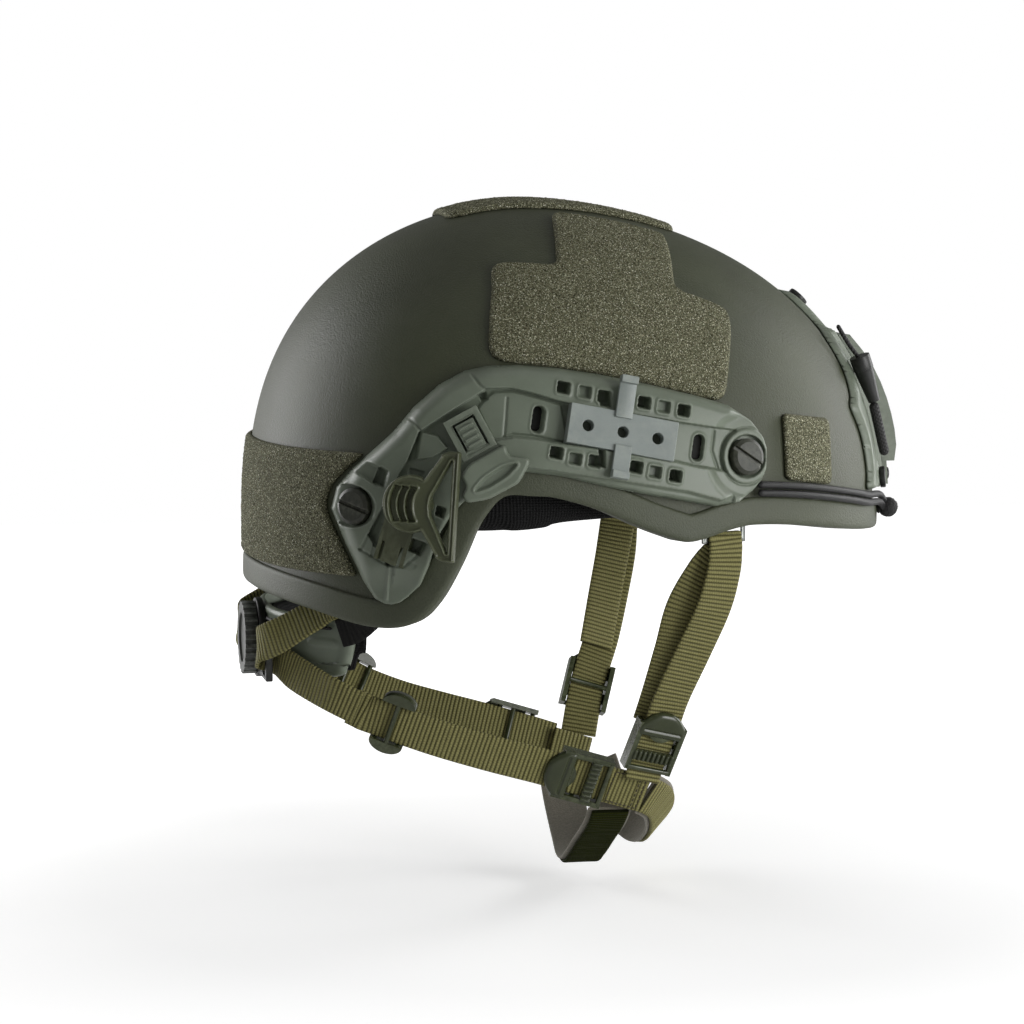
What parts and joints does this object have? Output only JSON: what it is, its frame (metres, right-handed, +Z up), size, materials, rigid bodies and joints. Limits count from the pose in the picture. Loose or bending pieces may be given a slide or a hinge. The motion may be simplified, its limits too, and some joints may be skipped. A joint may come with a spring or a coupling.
{
  "type": "combat helmet",
  "caption": "High-cut combat helmet with loop patches, slotted side rails, swivel clips, front shroud, padded liner, dial-fit nape cradle and a strapped chin harness.",
  "frame": {"origin": "on the mid plane at the height of the front brow edge, inside the head space", "axes": "+X to the front, +Y to the wearer's left, +Z up"},
  "size_m": [0.2871, 0.2626, 0.291],
  "materials": {
    "shell": "fine matt texture",
    "trim": "satin",
    "loop": "fuzzy loop pile",
    "rail": "moulded satin",
    "bolt": "satin",
    "steel": "brushed",
    "plate": "satin",
    "dark_plastic": "semi gloss",
    "screw": "satin",
    "bungee": "woven sheath",
    "braid": "braided",
    "grip": "knurled",
    "pad": "padded mesh",
    "hook": "matt",
    "band": "woven",
    "webbing": "ribbed weave",
    "dark_webbing": "ribbed weave",
    "suede": "suede",
    "housing": "satin",
    "knob": "satin"
  },
  "bodies": {
    "helmet": {"shell": "shell", "edge_trim": "trim", "crown_patch": "loop", "right_side_patch": "loop", "left_side_patch": "loop", "rear_patch": "loop", "right_front_patch": "loop", "left_front_patch": "loop", "right_rail": "rail", "left_rail": "rail", "rail_bolts": "bolt", "rail_nuts": "steel", "right_accessory_plate": "plate", "left_accessory_plate": "plate", "right_latch_insert": "rail", "left_latch_insert": "rail", "right_clip_carriage": "dark_plastic", "left_clip_carriage": "dark_plastic", "right_edge_clip": "rail", "left_edge_clip": "rail", "shroud_plate": "rail", "shroud_receiver": "rail", "shroud_screws": "screw", "right_bungee": "bungee", "left_bungee": "bungee", "right_lanyard": "braid", "left_lanyard": "braid", "lanyard_grips": "grip", "crown_pad": "pad", "front_pad": "pad", "rear_pad": "pad", "right_side_pad": "pad", "left_side_pad": "pad", "hook_discs": "hook", "headband": "band", "strap_brackets": "steel", "right_front_strap": "webbing", "left_front_strap": "webbing", "right_rear_strap": "webbing", "left_rear_strap": "webbing", "front_buckles": "dark_plastic", "rear_buckles": "dark_plastic", "tri_glides": "dark_plastic", "chin_junctions": "webbing", "front_chin_band": "webbing", "under_chin_band": "dark_webbing", "chin_linings": "suede"},
    "right_clip": {"right_swivel_clip": "dark_plastic"},
    "left_clip": {"left_swivel_clip": "dark_plastic"},
    "right_tongue": {"right_latch_tongue": "rail"},
    "left_tongue": {"left_latch_tongue": "rail"},
    "cradle": {"nape_cradle": "rail", "band_arms": "band", "nape_pad": "pad", "dial_housing": "housing", "nape_laces": "braid", "right_nape_strap": "webbing", "left_nape_strap": "webbing"},
    "dial": {"dial_knob": "knob", "lace_spool": "housing"}
  },
  "joints": [
    {"name": "right_clip_turn", "type": "hinge", "parent": "helmet", "child": "right_clip", "pos_m": [-0.07887, -0.11792, 0.02283], "axis": [-0.4454, -0.8937, 0.0539], "range_deg": [-75, 75]},
    {"name": "left_clip_turn", "type": "hinge", "parent": "helmet", "child": "left_clip", "pos_m": [-0.07887, 0.11792, 0.02283], "axis": [0.4454, -0.8937, -0.0539], "range_deg": [-75, 75]},
    {"name": "right_tongue_press", "type": "hinge", "parent": "helmet", "child": "right_tongue", "pos_m": [-0.05585, -0.11868, 0.04482], "axis": [-0.8605, 0.1644, -0.4823], "range_deg": [0, 6], "stiffness_Nm_per_rad": 0.2},
    {"name": "left_tongue_press", "type": "hinge", "parent": "helmet", "child": "left_tongue", "pos_m": [-0.05585, 0.11868, 0.04482], "axis": [0.8605, 0.1644, 0.4823], "range_deg": [0, 6], "stiffness_Nm_per_rad": 0.2},
    {"name": "cradle_slide", "type": "slide", "parent": "helmet", "child": "cradle", "axis": [1, 0, 0], "range_m": [0, 0.006]},
    {"name": "dial_turn", "type": "hinge", "parent": "cradle", "child": "dial", "pos_m": [-0.128, 0, -0.045], "axis": [1, 0, 0], "range_deg": [0, 360]}
  ],
  "couplings": [
    {"joint": "dial_turn", "follows": "cradle_slide", "rad_per_m": 1047.2}
  ]
}
